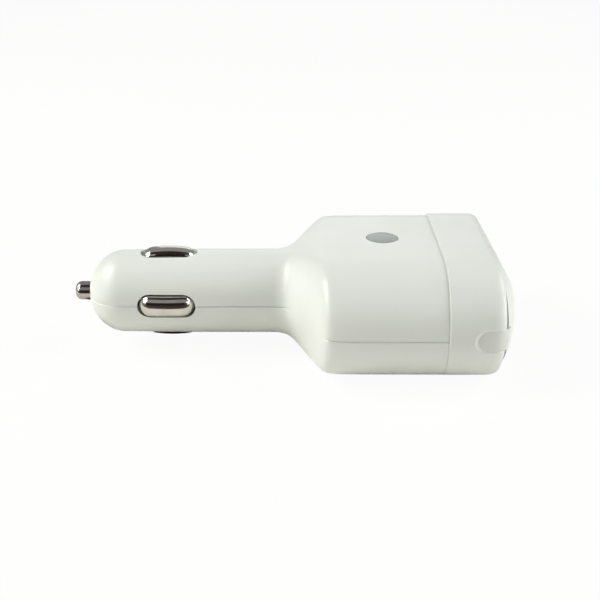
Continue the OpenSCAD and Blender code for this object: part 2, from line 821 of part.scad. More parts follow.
module fuse_caps() {
    color(chrome) translate([0, 0, board_top + fuse_cap_d / 2]) difference() {
        for (x = [fuse_x, fuse_x + fuse_l - fuse_cap_l]) bar_x(x, x + fuse_cap_l, fuse_cap_d / 2);
        bar_x(fuse_x + port_sheet, fuse_x + fuse_l - port_sheet, fuse_tube_d / 2 + seat_gap / 2);
    }
}

// Hollow square profile turned about Z through the given angle
module ring_sleeve(bore, d, z0, z1, angle) {
    rotate_extrude(angle = angle) translate([bore / 2, z0]) square([(d - bore) / 2, z1 - z0]);
}

module inductor_core() {
    color([0.8, 0.75, 0.3]) on_board(core_place)
        ring_sleeve(core_bore_d, core_d, winding_t + seat_gap, winding_t + seat_gap + core_h, 360);
}

module inductor_winding() {
    low = winding_t + seat_gap / 2;
    room = core_h + seat_gap;
    color([0.72, 0.4, 0.22]) on_board(core_place) difference() {
        ring_sleeve(core_bore_d - 2 * winding_t, core_d + 2 * winding_t, 0,
            low + room + winding_t, winding_arc);
        ring_sleeve(core_bore_d - seat_gap, core_d + seat_gap, low, low + room, 360);
    }
}

// Electrolytic can given as [diameter, height], with the groove near its foot
module capacitor(place, can) {
    r = can[0] / 2;
    h = can[1];
    color([0.2, 0.22, 0.26]) on_board(place) rotate_extrude() polygon([
        [0, 0], [r, 0], [r, 3 * can_groove], [r - can_groove, 4 * can_groove],
        [r, 5 * can_groove], [r, h - can_groove], [r - can_groove, h], [0, h]]);
}

// Chip with flat leads on both long sides, or on both ends
module leaded_part(place, size, leads, lead_w) {
    on_board(place) {
        translate([-size[0] / 2, -size[1] / 2, port_sheet]) cube(size);
        for (side = [-1, 1], x = leads)
            translate([x - lead_w / 2, side > 0 ? size[1] / 2 - port_sheet
                : -size[1] / 2 - lead_l, 0])
                cube([lead_w, lead_l + port_sheet, 2 * port_sheet]);
    }
}

module controller_chip() {
    color([0.12, 0.12, 0.13])
        leaded_part(chip_place, chip_size, chip_leads, chip_lead_w);
}

module diode() {
    color([0.15, 0.15, 0.16]) leaded_part(diode_place, diode_size, [0], diode_lead_w);
}

upper_shell();
lower_shell();
end_cap();
face_insert();
status_lens();
centre_pin();
pin_spring();
contact(TOP);  // contact_top
contact(BOTTOM);  // contact_bottom
contact(NEAR);  // contact_near
contact(FAR);  // contact_far
contact_spring(TOP);  // contact_spring_top
contact_spring(BOTTOM);  // contact_spring_bottom
contact_spring(NEAR);  // contact_spring_near
contact_spring(FAR);  // contact_spring_far
ground_frame();
positive_strap();
circuit_board();
usb_shell(-1);  // usb_shell_near
usb_shell(1);  // usb_shell_far
usb_tongue(-1);  // usb_tongue_near
usb_tongue(1);  // usb_tongue_far
usb_blades(-1);  // usb_blades_near
usb_blades(1);  // usb_blades_far
status_led();
fuse_tube();
fuse_caps();
inductor_core();
inductor_winding();
capacitor(input_place, input_can);  // input_capacitor
capacitor(output_place, output_can);  // output_capacitor
controller_chip();
diode();
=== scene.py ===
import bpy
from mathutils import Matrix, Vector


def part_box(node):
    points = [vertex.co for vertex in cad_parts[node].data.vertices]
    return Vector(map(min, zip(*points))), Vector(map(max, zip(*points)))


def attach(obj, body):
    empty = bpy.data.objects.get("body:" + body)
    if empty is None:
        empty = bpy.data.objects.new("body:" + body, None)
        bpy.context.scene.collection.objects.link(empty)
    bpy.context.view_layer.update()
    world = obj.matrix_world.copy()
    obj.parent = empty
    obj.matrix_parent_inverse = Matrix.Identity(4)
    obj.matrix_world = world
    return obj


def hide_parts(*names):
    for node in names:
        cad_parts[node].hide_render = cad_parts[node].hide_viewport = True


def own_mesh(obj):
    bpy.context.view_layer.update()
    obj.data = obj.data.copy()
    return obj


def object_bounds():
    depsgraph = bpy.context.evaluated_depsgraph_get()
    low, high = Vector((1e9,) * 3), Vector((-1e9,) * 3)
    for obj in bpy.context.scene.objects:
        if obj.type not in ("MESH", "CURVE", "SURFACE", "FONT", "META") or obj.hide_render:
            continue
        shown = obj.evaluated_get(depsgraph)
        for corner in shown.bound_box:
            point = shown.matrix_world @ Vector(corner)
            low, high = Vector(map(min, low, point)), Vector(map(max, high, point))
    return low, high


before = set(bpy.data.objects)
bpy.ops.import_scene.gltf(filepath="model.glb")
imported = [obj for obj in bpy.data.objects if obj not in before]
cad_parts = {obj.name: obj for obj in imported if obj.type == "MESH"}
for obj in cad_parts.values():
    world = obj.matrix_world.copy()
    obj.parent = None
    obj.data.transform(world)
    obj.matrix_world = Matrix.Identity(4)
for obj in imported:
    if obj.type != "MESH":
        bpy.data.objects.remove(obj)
cad_bounds = [list(corner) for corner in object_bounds()]

import math

import bmesh
import bpy
from mathutils import Matrix, Vector

# Sizes are in millimetres, in the row's frame: X along the barrel, 0 at the head's shoulder.
# An oval is its half-width, its half-thickness and the reach of its round side.
# A rounding is how far it runs along X and how far inwards.
MM = 0.001

# Barrel and nose
BARREL_R = 10.4
BORE_R = 8.6
PLAIN_X = -20.2
NOSE_R = 10.2
NOSE_FOOT_X = -38.4
NOSE_L = 8.3
NOSE_TIP_X = NOSE_FOOT_X - NOSE_L
NOSE_FLAT_R = 4.1
NOSE_WALL = 2.0
NOSE_INSIDE_X = NOSE_TIP_X + NOSE_WALL
NOSE_BORE_R = 4.9
NOSE_BORE_X = -37.8
PIN_HOLE_R = 2.45
PIN_HOLE_EDGE = (0.2, 0.25)

# Head: the flare is its start, its end and how soft each of them is, the shoulder is where the
# section begins and ends turning into the barrel's, the edge is (behind the end, inwards)
NECK_R = 10.75
HEAD = (29.75, 14.0, 15.5)
HEAD_L = 38.0
HEAD_WALL = 2.0
FLARE = (2.4, 10.3, 1.2, 1.4)
SHOULDER = (2.6, -1.6)
HEAD_EDGE_IN = 0.06
HEAD_EDGE = ((0.03, 0.02), (0.08, 0.0), (0.3, 0.0))
INSIDE_LAG = 1.5

# Stations along the housing, where each run of them has its start, its step and its count
HEAD_XS = (34, 31, 28, 25, 22, 19)
FLARE_RUN = (16, -0.4, 44)
BARREL_XS = (-5, -10, -15, PLAIN_X)
TAPER_STEPS = 6
INSIDE_RUN = (0.4, 0.8, 19)

# Groove on the parting line: each share is of its full depth, and it fades on the flare.
# Its side goes by (share of the depth, share of the width).
GROOVE_W = 0.24
GROOVE_DEPTH = 0.42
GROOVE_SIDE = ((1.0, 0.0), (0.45, 0.55), (0.12, 0.8))
HEAD_GROOVE = 0.8
TAPER_GROOVE = 0.6
NOSE_GROOVE = 0.35
FADE_X = 6.2
FADE_REACH = 5.5
FADE_SLOPE = 2.5
FADE_SHARE = 0.7

# End cap: the mouth and the seam are insets at the sides and at the top
CAP = (30.0, 14.25, 15.75)
CAP_LIFT = 0.25
CAP_L = 12.65
SEAM_GAP = 0.15
CAP_X = HEAD_L + SEAM_GAP
CAP_XS = (40, 42, 44, 46)
RIM_X = CAP_X + CAP_L
SEAM_LAND_X = HEAD_L + 0.02
SEAM_DEPTH = (0.3, 0.16)
SEAM_EDGE = ((0.0, 0.09), (0.04, 0.03), (0.12, 0.0), (0.3, 0.0))
RIM_ROUND = (2.9, 1.6)
RIM_CROWN = (2.0, 0.9)
ROUND_BEND = 1.25
MOUTH = (1.65, 3.2)
MOUTH_EDGE = (0.08, 0.12)
MOUTH_X = RIM_X - 4.8
MOUTH_STEP = 0.6
CAP_INSIDE_X = CAP_X + 1.6
SPIGOT_X = HEAD_L - 4.5
SPIGOT = (2.35, 3.85)

# Notch in each side of the cap: its bevel is (in from the side, wider)
NOTCH_W = 5.0
NOTCH_L = 6.2
NOTCH_FRONT_X = RIM_X + 2.0
NOTCH_BEVEL = ((3.1, 0), (0.64, 0), (0.58, 0.14), (0.48, 0.36), (0.3, 0.62), (0.05, 0.86),
               (-0.6, 1.2))

# Domed front with its tongues and port wells: its skirt is (behind the edge, inwards)
INSERT_GAP = 0.35
INSERT = tuple(full - rim - INSERT_GAP for full, rim in zip(CAP, (*MOUTH, MOUTH[0])))
INSERT_X = RIM_X + 0.6
INSERT_BACK_X = MOUTH_X + 0.1
INSERT_WALL = 1.6
SKIRT = ((INSERT_X - INSERT_BACK_X, 0.0), (1.8, 0.0), (1.6, 0.06), (0.3, 0.06), (0.14, 0.12),
         (0.06, 0.02), (0.0, 0.05))
DOME_H = 5.1
DOME_POWER = 2.45
DOME_SHORT = 0.7
TONGUE_SINK = 0.65
TONGUE_X = INSERT_X + 0.7
TONGUE_ROUND = (3.9, 2.7)
TONGUE_ROOT = 0.1
TONGUE_NARROWER = 0.03
PORT_Y = 12.0
WELL = (16.6, 8.6, 1.6)
WELL_FLOOR_X = RIM_X + 1.4
WELL_WALL = 1.4
WELL_CUT_X = 60.0
CASE = (13.1, 5.72)
CASE_GAP = 0.1
CASE_HOLE_ROUND = 0.62
CASE_HOLE_X = (45.0, 53.0)

# Side contacts
PILL_X = -27.25
PILL_L = 13.35
PILL_W = 5.25
PILL_ARCH = 0.017
PILL_TOP = BARREL_R + 1.25
PILL_ROUND = 1.7
PILL_SHEET = 0.7
PILL_GAP = 0.36
FLANGE_TOP = 7.6
FLANGE_OUT = 1.0
WINDOW_CUT = (FLANGE_TOP - 1.5, PILL_TOP + 1)
ANGLES = {"top": 0, "bottom": 180, "near": 90, "far": -90}

# Springs: each coil is its outer radius, its wire and its turns
COIL_SEAT = CASE[1] / 2
CONTACT_COIL = (1.9, 0.5, 4)
CONTACT_COIL_GAP = 0.04
PIN_COIL = (3.5, 0.7, 3.5)
PIN_COIL_GAP = 0.02

# Centre pin
PIN_TIP_X = NOSE_TIP_X - 4.3
PIN_TIP_R = 0.8
PIN_ROUND = (1.6, 1.55)
PIN_FLANGE_X = NOSE_INSIDE_X + 0.1
PIN_FLANGE_T = 1.0
PIN_FLANGE_R = 4.6
PIN_GUIDE_R = 2.4
PIN_BACK_X = -41.4

# Lens: its edge is (below the top, inwards)
LENS_X = 25.0
LENS_R = 3.85
LENS_GAP = 0.05
LENS_T = 1.3
LENS_EDGE = ((0.12, 0.0), (0.03, 0.05), (0.0, 0.16))
LENS_STEM_R = 1.8
LENS_STEM_Z = -0.6
SEAT_CHAMFER = 0.14
SEAT_OVER = 0.3
SEAT_LOW_Z = 8.0

# Points round each curve, and the angle from which an edge stays sharp
SIDE_STEPS = 28
FLAT_STEPS = 8
NOSE_STEPS = 24
RIM_STEPS = 20
DOME_STEPS = 30
HOLLOW_STEPS = 16
TONGUE_STEPS = 16
SLOT_STEPS = 32
TURN_STEPS = 96
SEAT_STEPS = 128
PILL_STEPS = 20
PILL_ROOF_STEP = 12
PILL_END_STEPS = 24
PIN_STEPS = 12
CORNER_STEPS = 8
COIL_STEPS = 28
WIRE_SIDES = 10
SHARP = math.radians(32)


# Meshes

def ramp(x, w):
    """0 before 0 and x after it, with a bend about w wide."""
    return (x + math.sqrt(x * x + w * w)) / 2


def head_section(x):
    """Oval of the head's outside at x."""
    start, end, root, crown = FLARE
    share = (ramp(x - start, root) - ramp(x - end, crown)) / (end - start)
    return tuple(NECK_R + (full - NECK_R) * share for full in HEAD)


def run_of(start, step, count):
    return [start + step * i for i in range(count)]


def inset(section, by):
    return tuple(v - by for v in section)


def circle(r):
    return (r, r, r)


def half_outline(section, groove=0.0):
    """[y, z] points over the top half of an oval, from +Y to -Y, with a groove at each foot."""
    a, b, s = section
    first = math.asin(GROOVE_W / b)
    side = [(a - deep * groove, wide * GROOVE_W) for deep, wide in GROOVE_SIDE]
    for i in range(SIDE_STEPS + 1):
        t = first + (math.pi / 2 - first) * i / SIDE_STEPS
        side.append((a - s + s * math.cos(t), b * math.sin(t)))
    flat = [((a - s) * (1 - 2 * i / FLAT_STEPS), b) for i in range(1, FLAT_STEPS)]
    return side + flat + [(-y, z) for y, z in reversed(side)]


def whole_outline(section, lift=0.0):
    """[y, z] points all round an oval."""
    a, b, s = section
    top = []
    for i in range(SIDE_STEPS + 1):
        t = math.pi / 2 * i / SIDE_STEPS
        top.append((a - s + s * math.cos(t), b * math.sin(t)))
    top += [((a - s) * (1 - 2 * i / FLAT_STEPS), b) for i in range(1, FLAT_STEPS)]
    top += [(-y, z) for y, z in reversed(top[:SIDE_STEPS + 1])]
    return [(y, z + lift) for y, z in top + [(-y, -z) for y, z in top[1:-1]]]


def row_at(x, outline):
    return [(x, y, z) for y, z in outline]


def mesh_from_rows(rows, ring=True, loop=False, caps=True, sides=False):
    """Faces between rows of equally many points.

    ring joins each row's last point to its first, loop joins the last row to the first,
    caps closes the first and last rows, and sides closes the two edges of open rows.
    """
    mesh = bmesh.new()
    verts = [[mesh.verts.new([c * MM for c in p]) for p in row] for row in rows]
    n = len(rows[0])
    for j in range(len(rows) if loop else len(rows) - 1):
        here, ahead = verts[j], verts[(j + 1) % len(rows)]
        for i in range(n if ring else n - 1):
            k = (i + 1) % n
            mesh.faces.new((here[i], here[k], ahead[k], ahead[i]))
    if caps and not loop:
        mesh.faces.new(verts[0])
        mesh.faces.new(verts[-1])
    if sides:
        mesh.faces.new([row[0] for row in verts])
        mesh.faces.new([row[-1] for row in verts])
    bmesh.ops.remove_doubles(mesh, verts=mesh.verts, dist=2e-7)
    bmesh.ops.dissolve_degenerate(mesh, edges=mesh.edges, dist=1e-7)
    bmesh.ops.recalc_face_normals(mesh, faces=mesh.faces)
    return mesh


def piece_from(name, mesh, body=None, replaced=()):
    """Object of that mesh, which may ride a body and stand for CAD nodes."""
    data = bpy.data.meshes.new(name)
    mesh.to_mesh(data)
    mesh.free()
    piece = bpy.data.objects.new(name, data)
    bpy.context.scene.collection.objects.link(piece)
    if body:
        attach(piece, body)
    for node in replaced:
        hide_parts(node)
    return piece


def combine(piece, meshes, operation="DIFFERENCE"):
    """Cuts the piece with solids, or joins them to it, and bakes the result into its mesh."""
    for mesh in meshes:
        cutter = piece_from("cutter", mesh)
        cut = piece.modifiers.new("cut", "BOOLEAN")
        cut.object = cutter
        cut.operation = operation
        cut.solver = "EXACT"
        depsgraph = bpy.context.evaluated_depsgraph_get()
        data = bpy.data.meshes.new_from_object(piece.evaluated_get(depsgraph))
        piece.modifiers.clear()
        old, piece.data = piece.data, data
        data.name = piece.name
        bpy.data.meshes.remove(old)
        bpy.data.objects.remove(cutter)


def smooth(piece):
    for polygon in piece.data.polygons:
        polygon.use_smooth = True
    piece.data.set_sharp_from_angle(angle=SHARP)


def lathe_rows(profile, steps=TURN_STEPS, axis="X"):
    """Rows of a turned solid from [along, radius] points, along X or Z."""
    rows = []
    for along, r in profile:
        turn = [2 * math.pi * i / steps for i in range(steps)]
        if axis == "X":
            rows.append([(along, r * math.cos(t), r * math.sin(t)) for t in turn])
        else:
            rows.append([(r * math.cos(t), r * math.sin(t), along) for t in turn])
    return rows


def stadium(length, r):
    """[x, y] points round a pill whose core is length long and whose ends have radius r."""
    half = length / 2
    points = []
    for side in (1, -1):
        for i in range(PILL_END_STEPS + 1):
            t = math.pi * i / PILL_END_STEPS - math.pi / 2 + (math.pi if side < 0 else 0)
            points.append((side * half + r * math.cos(t), r * math.sin(t)))
        for i in range(1, FLAT_STEPS):
            points.append((side * (half - length * i / FLAT_STEPS), side * r))
    return points


def turned_about_x(points, degrees):
    spin = Matrix.Rotation(math.radians(degrees), 3, "X")
    return [tuple(spin @ Vector(p)) for p in points]


def moved_along_x(points, by):
    return [(x + by, y, z) for x, y, z in points]


def pill_prism(which, low, high):
    """Prism of a contact's window, standing out of the barrel."""
    outline = stadium(PILL_L - PILL_W, PILL_W / 2 + PILL_GAP)
    return mesh_from_rows([
        turned_about_x([(PILL_X + x, y, z) for x, y in outline], ANGLES[which])
        for z in (low, high)])


def box_x(x0, x1, w, t, r, y=0.0):
    """Box along X with round corners, w wide and t high."""
    outline = []
    for cy, cz, start in ((1, 1, 0), (-1, 1, 90), (-1, -1, 180), (1, -1, 270)):
        for i in range(CORNER_STEPS + 1):
            a = math.radians(start + 90 * i / CORNER_STEPS)
            outline.append((y + cy * (w / 2 - r) + r * math.cos(a),
                            cz * (t / 2 - r) + r * math.sin(a)))
    return mesh_from_rows([row_at(x0, outline), row_at(x1, outline)])


# Housing halves

def shoulder_station(x):
    """Section and groove share where the head runs into the barrel."""
    share = min(1.0, max(0.0, (SHOULDER[0] - x) / (SHOULDER[0] - SHOULDER[1])))
    share = share * share * (3 - 2 * share)
    fade = max(0.0, 1 - abs(x - FADE_X) / FADE_REACH)
    return (x, tuple(v + (BARREL_R - v) * share for v in head_section(x)),
            HEAD_GROOVE - FADE_SHARE * min(1.0, FADE_SLOPE * fade))


def nose_stations():
    """Slow taper of the barrel, then the round nose down to its flat tip."""
    stations = []
    for i in range(1, TAPER_STEPS + 1):
        x = PLAIN_X + (NOSE_FOOT_X - PLAIN_X) * i / TAPER_STEPS
        stations.append((x, circle(BARREL_R + (NOSE_R - BARREL_R) * i / TAPER_STEPS),
                         TAPER_GROOVE))
    reach = NOSE_L / math.sqrt(1 - (NOSE_FLAT_R / NOSE_R) ** 2)
    last = math.asin(NOSE_L / reach)
    for i in range(1, NOSE_STEPS + 1):
        t = last * i / NOSE_STEPS
        stations.append((NOSE_FOOT_X - reach * math.sin(t), circle(NOSE_R * math.cos(t)),
                         NOSE_GROOVE))
    return stations


def housing_rows(mirror):
    """Stations of one half of the housing: down the outside to the nose, back up the inside."""
    stations = [(HEAD_L, inset(head_section(HEAD_L), HEAD_EDGE_IN), HEAD_GROOVE)]
    stations += [(HEAD_L - back, inset(HEAD, by), HEAD_GROOVE) for back, by in HEAD_EDGE]
    stations += [(x, head_section(x), HEAD_GROOVE) for x in HEAD_XS]
    stations += [shoulder_station(x) for x in run_of(*FLARE_RUN)]
    stations += [(x, circle(BARREL_R), HEAD_GROOVE) for x in BARREL_XS]
    stations += nose_stations()
    deep, wide = PIN_HOLE_EDGE
    stations += [(x, circle(r), 0) for x, r in (
        (NOSE_TIP_X, PIN_HOLE_R + wide), (NOSE_TIP_X + deep, PIN_HOLE_R),
        (NOSE_INSIDE_X, PIN_HOLE_R), (NOSE_INSIDE_X, NOSE_BORE_R), (NOSE_BORE_X, NOSE_BORE_R),
        (NOSE_BORE_X, BORE_R), (0.0, BORE_R))]
    stations += [(x, inset(head_section(x - INSIDE_LAG), HEAD_WALL), 0)
                 for x in run_of(*INSIDE_RUN) + [HEAD_L]]
    side = -1 if mirror else 1
    return [[(x, y, side * z) for y, z in half_outline(section, GROOVE_DEPTH * groove)]
            for x, section, groove in stations]


def housing_half(name, node, mirror):
    mesh = mesh_from_rows(housing_rows(mirror), ring=False, loop=True, sides=True)
    piece = piece_from(name, mesh, "housing", [node])
    combine(piece, [pill_prism(which, *WINDOW_CUT)
                    for which in ("near", "far", "bottom" if mirror else "top")])
    return piece


def lens_seat():
    """Round hole for the lens, with a fine chamfer."""
    r = LENS_R + LENS_GAP
    profile = [(SEAT_LOW_Z, r), (HEAD[1] - SEAT_CHAMFER, r),
               (HEAD[1] + SEAT_OVER, r + SEAT_CHAMFER + SEAT_OVER)]
    return mesh_from_rows([moved_along_x(row, LENS_X) for row in lathe_rows(profile, SEAT_STEPS, "Z")])


upper = housing_half("housing_upper", "upper_shell", False)
lower = housing_half("housing_lower", "lower_shell", True)
combine(upper, [lens_seat()])
for half in (upper, lower):
    smooth(half)


# End cap

def rim_stations():
    """Rounding of the rim, fuller at the sides and sharper at the top and bottom."""
    stations = []
    for i in range(RIM_STEPS + 1):
        t = math.pi / 2 * i / RIM_STEPS
        back = RIM_ROUND[0] * (1 - math.sin(t) ** ROUND_BEND)
        side = RIM_ROUND[1] * (1 - math.cos(t) ** ROUND_BEND)
        into = max(0.0, 1 - back / RIM_CROWN[0])
        over = RIM_CROWN[1] * (1 - math.sqrt(max(0.0, 1 - into ** 2)))
        stations.append((RIM_X - back, side, over, 1))
    return stations


def cap_rows():
    """Stations of the cap's wall: outside, over the rim, in through the mouth and back."""
    stations = [(SEAM_LAND_X, *SEAM_DEPTH, 1), (CAP_X, *SEAM_DEPTH, 1)]
    stations += [(CAP_X + x, by, by, 1) for x, by in SEAM_EDGE]
    stations += [(x, 0, 0, 1) for x in CAP_XS]
    stations += rim_stations()
    stations += [(RIM_X, MOUTH[0] - MOUTH_EDGE[0], MOUTH[1] - MOUTH_EDGE[1], 0.3),
                 (RIM_X - MOUTH_EDGE[1], *MOUTH, 0), (MOUTH_X, *MOUTH, 0)]
    stations += [(x, MOUTH[0] + MOUTH_STEP, MOUTH[1] + MOUTH_STEP, 0)
                 for x in (MOUTH_X, CAP_INSIDE_X)]
    stations += [(x, by, by, 0) for x, by in (
        (CAP_INSIDE_X, SPIGOT[1]), (SPIGOT_X, SPIGOT[1]), (SPIGOT_X, SPIGOT[0]),
        (SEAM_LAND_X, SPIGOT[0]))]
    return [row_at(x, whole_outline((CAP[0] - side, CAP[1] - over, CAP[2] - side),
                                    CAP_LIFT * lift))
            for x, side, over, lift in stations]


def slot_outline(w, front, flare=0.0):
    """[x, z] points of the rim's slot: round behind, open in front."""
    centre = RIM_X - NOTCH_L + NOTCH_W / 2
    r = w / 2 + flare
    points = [(front, r)]
    for i in range(SLOT_STEPS + 1):
        t = math.pi / 2 + math.pi * i / SLOT_STEPS
        points.append((centre + r * math.cos(t), r * math.sin(t)))
    points.append((front, -r))
    return points


def notch_prism(side):
    """Prism across the cap's side wall that widens outwards."""
    return mesh_from_rows([[(x, side * (CAP[0] - deep), z)
                            for x, z in slot_outline(NOTCH_W, NOTCH_FRONT_X, flare)]
                           for deep, flare in NOTCH_BEVEL])


cap = piece_from("end_cap_skin", mesh_from_rows(cap_rows(), loop=True), "housing",
                 ["end_cap"])
combine(cap, [notch_prism(side) for side in (1, -1)])
smooth(cap)


# Domed front

def dome_rings(wall, count):
    """Rings of the dome from its edge to its middle, drawn in and back by wall."""
    rings = []
    for i in range(count):
        rho = math.cos(math.pi / 2 * i / (count - DOME_SHORT))
        x = INSERT_X - wall + DOME_H * (1 - rho ** DOME_POWER)
        rings.append(row_at(x, whole_outline(tuple(v * rho for v in inset(INSERT, wall)))))
    return rings


def tongue_rows(side):
    """Tongue that fills the notch: rises out of the skirt and rounds over at its front."""
    outer = CAP[0] - TONGUE_SINK
    along, deep = TONGUE_ROUND
    steps = [(INSERT[0] - INSERT_WALL + TONGUE_ROOT, 0), (outer - deep, 0)]
    for i in range(1, TONGUE_STEPS + 1):
        t = math.pi / 2 * i / TONGUE_STEPS
        steps.append((outer - deep * (1 - math.sin(t) ** ROUND_BEND),
                      along * (1 - math.cos(t) ** ROUND_BEND)))
    return [[(x, side * y, z)
             for x, z in slot_outline(NOTCH_W - TONGUE_NARROWER, TONGUE_X - pull)]
            for y, pull in steps]


def hollow_mesh():
    """Space behind the front, which leaves the walls and floors of the port wells standing."""
    cavity = piece_from("cavity", mesh_from_rows(
        [row_at(INSERT_BACK_X - 1, whole_outline(inset(INSERT, INSERT_WALL)))]
        + dome_rings(INSERT_WALL, HOLLOW_STEPS)))
    combine(cavity, [box_x(WELL_FLOOR_X - WELL_WALL, WELL_CUT_X, WELL[0] + 2 * WELL_WALL,
                           WELL[1] + 2 * WELL_WALL, WELL[2] + WELL_WALL, y)
                     for y in (-PORT_Y, PORT_Y)])
    mesh = bmesh.new()
    mesh.from_mesh(cavity.data)
    bpy.data.objects.remove(cavity)
    return mesh


def domed_front():
    """Front with its dome, hollow behind, with a tongue at each side and two port wells."""
    piece = piece_from("domed_front", mesh_from_rows(
        [row_at(INSERT_X - back, whole_outline(inset(INSERT, by))) for back, by in SKIRT]
        + dome_rings(0.0, DOME_STEPS)[2:]), "housing", ["face_insert"])
    combine(piece, [hollow_mesh()])
    combine(piece, [mesh_from_rows(tongue_rows(side)) for side in (1, -1)], "UNION")
    hole = (CASE[0] + 2 * CASE_GAP, CASE[1] + 2 * CASE_GAP, CASE_HOLE_ROUND)
    combine(piece, [box_x(WELL_FLOOR_X, WELL_CUT_X, *WELL, y) for y in (-PORT_Y, PORT_Y)]
            + [box_x(*CASE_HOLE_X, *hole, y) for y in (-PORT_Y, PORT_Y)])
    smooth(piece)
    return piece


insert = domed_front()


# Contacts, pin, springs and lens

def contact_piece(which):
    """Drawn contact: domed crown, straight wall, flange inside the barrel, hollow behind."""
    half = PILL_W / 2
    crown = [(half * math.sin(t), PILL_TOP - PILL_ROUND * (1 - math.cos(t)))
             for t in [math.pi / 2 * i / PILL_STEPS for i in range(PILL_STEPS + 1)]]
    inner = half - PILL_SHEET
    roof = crown[PILL_ROOF_STEP][1] - PILL_SHEET
    flange_low = FLANGE_TOP - PILL_SHEET
    profile = crown + [(half, FLANGE_TOP), (half + FLANGE_OUT, FLANGE_TOP),
                       (half + FLANGE_OUT, flange_low), (inner, flange_low), (inner, roof),
                       (0.0, roof)]
    rows = [turned_about_x([(PILL_X + x, y, z - (PILL_ARCH * x * x if z > FLANGE_TOP else 0))
                            for x, y in stadium(PILL_L - PILL_W, r)], ANGLES[which])
            for r, z in profile]
    piece = piece_from("contact_pill_" + which, mesh_from_rows(rows, caps=False),
                       "contact_" + which, ["contact_" + which])
    smooth(piece)
    return piece


def coil_rows(coil, start, end):
    """Rings along a round wire that winds about Z."""
    radius, wire, turns = coil
    rows = []
    for i in range(int(turns * COIL_STEPS) + 1):
        t = 2 * math.pi * i / COIL_STEPS
        z = start + wire / 2 + (end - start - wire) * i / (turns * COIL_STEPS)
        ring = [(radius - wire / 2 + wire / 2 * math.cos(u), z + wire / 2 * math.sin(u))
                for u in [-2 * math.pi * k / WIRE_SIDES for k in range(WIRE_SIDES)]]
        rows.append([(r * math.cos(t), r * math.sin(t), h) for r, h in ring])
    return rows


def coil_piece(name, rows, node):
    """Compression spring that rides the housing, with a mesh of its own."""
    piece = piece_from(name, mesh_from_rows(rows), "housing", [node])
    smooth(piece)
    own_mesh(piece)
    return piece


def contact_coil(which):
    low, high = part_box("contact_spring_top")
    length = (high[2] - low[2]) / MM - CONTACT_COIL_GAP
    rows = [turned_about_x(moved_along_x(row, PILL_X), ANGLES[which])
            for row in coil_rows(CONTACT_COIL, COIL_SEAT, COIL_SEAT + length)]
    return coil_piece("contact_coil_" + which, rows, "contact_spring_" + which)


def centre_pin():
    """Turned pin: round tip, straight shank, flange inside the nose, guide for its spring."""
    along, across = PIN_ROUND
    profile = [(PIN_TIP_X, 0.0)]
    for i in range(PIN_STEPS + 1):
        t = math.pi / 2 * i / PIN_STEPS
        profile.append((PIN_TIP_X + along * (1 - math.cos(t)), PIN_TIP_R + across * math.sin(t)))
    front, back = PIN_FLANGE_X, PIN_FLANGE_X + PIN_FLANGE_T
    profile += [(front, PIN_TIP_R + across), (front, PIN_FLANGE_R), (back, PIN_FLANGE_R),
                (back, PIN_GUIDE_R), (PIN_BACK_X, PIN_GUIDE_R), (PIN_BACK_X, 0.0)]
    piece = piece_from("tip_pin", mesh_from_rows(lathe_rows(profile), caps=False), "pin",
                       ["centre_pin"])
    smooth(piece)
    return piece


def pin_coil():
    low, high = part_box("pin_spring")
    start, end = low[0] / MM + PIN_COIL_GAP, high[0] / MM
    rows = [[(z, y, -x) for x, y, z in row] for row in coil_rows(PIN_COIL, start, end)]
    return coil_piece("tip_coil", rows, "pin_spring")


def lens_disc():
    """Disc in the head's top on a stem that leads the light up from the board."""
    top = HEAD[1]
    profile = [(LENS_STEM_Z, 0.0), (LENS_STEM_Z, LENS_STEM_R), (top - LENS_T, LENS_STEM_R),
               (top - LENS_T, LENS_R)]
    profile += [(top - down, LENS_R - by) for down, by in LENS_EDGE] + [(top, 0.0)]
    piece = piece_from("lens_disc", mesh_from_rows(
        [moved_along_x(row, LENS_X) for row in lathe_rows(profile, axis="Z")], caps=False),
        "housing", ["status_lens"])
    smooth(piece)
    return piece


contacts = [contact_piece(which) for which in ANGLES]
coils = [contact_coil(which) for which in ANGLES]
pin = centre_pin()
coils.append(pin_coil())
lens = lens_disc()


# Materials

def put(tree, kind, fields=None, **inputs):
    """Adds a shader node. An input that is a socket is linked, any other is set."""
    node = tree.nodes.new("ShaderNode" + kind)
    for key, value in (fields or {}).items():
        setattr(node, key, value)
    for key, value in inputs.items():
        socket = node.inputs[int(key[1:]) if key[0] == "i" and key[1:].isdigit()
                             else key.replace("_", " ")]
        if isinstance(value, bpy.types.NodeSocket):
            tree.links.new(value, socket)
        else:
            socket.default_value = value
    return node


def maths(tree, operation, a, b=0.0, clamp=False):
    return put(tree, "Math", {"operation": operation, "use_clamp": clamp}, i0=a, i1=b).outputs[0]


def mapped(tree, value, low, high, to_low=0.0, to_high=1.0):
    return put(tree, "MapRange", {"clamp": True}, Value=value, From_Min=low, From_Max=high,
               To_Min=to_low, To_Max=to_high).outputs[0]


def mixed(tree, share, a, b):
    """Colour between a and b. Each input is a socket or a value."""
    node = put(tree, "Mix", {"data_type": "RGBA"})
    for socket, value in ((node.inputs["Factor"], share), (node.inputs[6], a),
                          (node.inputs[7], b)):
        if isinstance(value, bpy.types.NodeSocket):
            tree.links.new(value, socket)
        else:
            socket.default_value = value
    return node.outputs[2]


def rgba(colour):
    return (*colour, 1.0)


